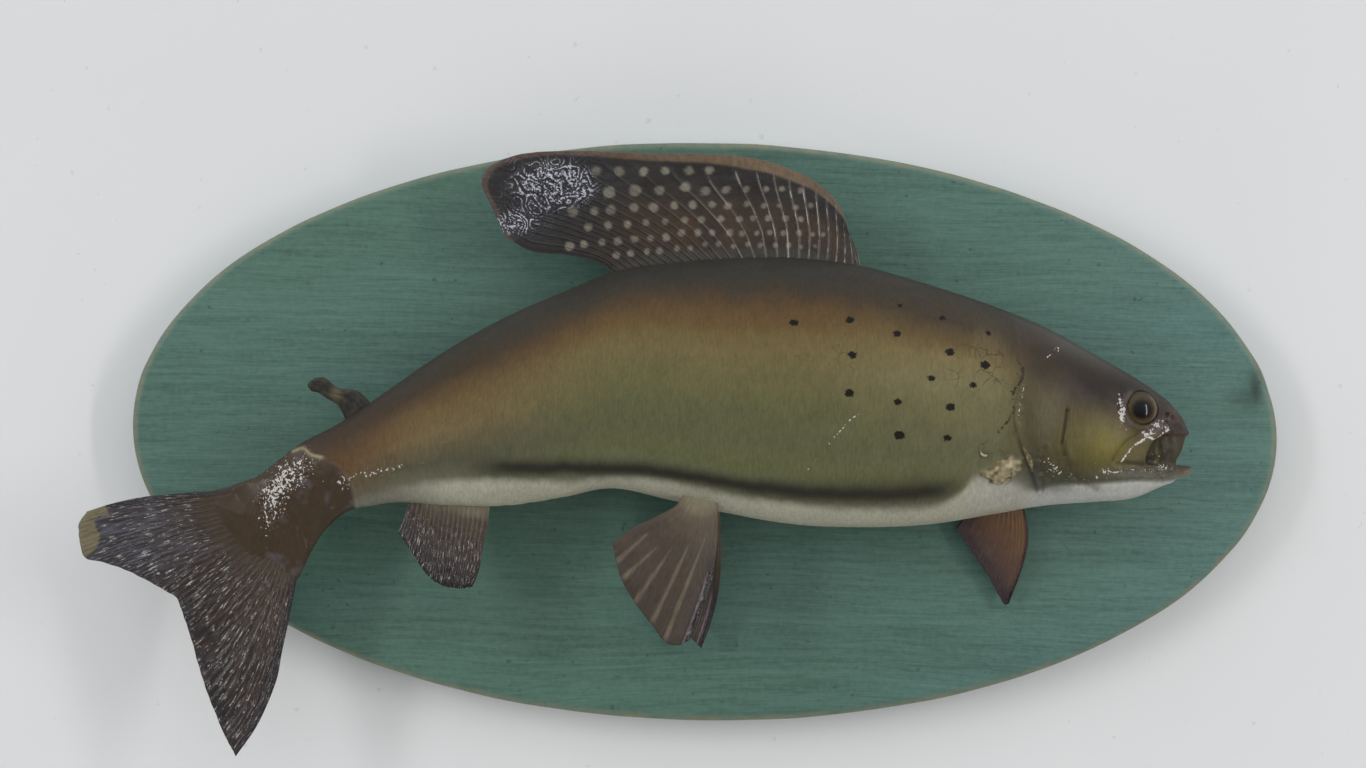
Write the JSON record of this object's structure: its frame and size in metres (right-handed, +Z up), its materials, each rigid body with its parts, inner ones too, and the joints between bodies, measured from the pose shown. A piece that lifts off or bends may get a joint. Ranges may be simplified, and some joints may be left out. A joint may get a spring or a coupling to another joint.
{
  "type": "mounted trophy fish",
  "caption": "Whole mounted Arctic grayling with a tall spotted dorsal fin, curved with its tail down, on an oval green-stained wooden wall plaque.",
  "frame": {"origin": "centre of the plaque's back face, which lies against the wall", "axes": "+X from the fish's tail to its head along the plaque's long axis, +Y into the wall, +Z up"},
  "size_m": [0.4685, 0.0751, 0.2423],
  "materials": {
    "plaque": "sage green stain brushed over the grain, satin, worn to bare wood on the front edge",
    "steel": "zinc-plated steel",
    "raw_wood": "bare softwood",
    "skin": "painted and varnished fish skin: dark back, orange-brown band, olive flank, white belly",
    "mouth": "dark olive skin, glossy varnish",
    "eye": "glass eye with a dark pupil in a grey-brown iris",
    "tail": "dark purplish brown, lumpy glossy varnish",
    "dorsal_fin": "near black to brown with pale spots and a tan border, glossy varnish",
    "adipose_fin": "dark brown, glossy varnish",
    "fin": "brown and purplish brown between pale rays, varnished",
    "stump": "torn, dry, cream and tan"
  },
  "bodies": {
    "root": {"board": "plaque", "hanger_plate": "steel", "hanger_screw_left": "steel", "hanger_screw_right": "steel", "fish_screw_front": "steel", "fish_screw_rear": "steel", "stand_off_front": "raw_wood", "stand_off_rear": "raw_wood", "head": "skin", "gill_cover_right": "skin", "gill_cover_left": "skin", "jaw_bone_right": "skin", "jaw_bone_left": "skin", "lower_jaw": "skin", "mouth_skin": "mouth", "eye_right": "eye", "eye_left": "eye", "trunk_front": "skin", "trunk_rear": "skin", "tail_stem": "skin", "tail_root": "tail", "tail_fin_upper": "tail", "tail_fin_lower": "tail", "dorsal_fin": "dorsal_fin", "adipose_fin": "adipose_fin", "anal_fin": "fin", "pelvic_fin_right": "fin", "pelvic_fin_left": "fin", "pectoral_fin_left": "fin", "pectoral_stump_right": "stump"}
  },
  "joints": []
}
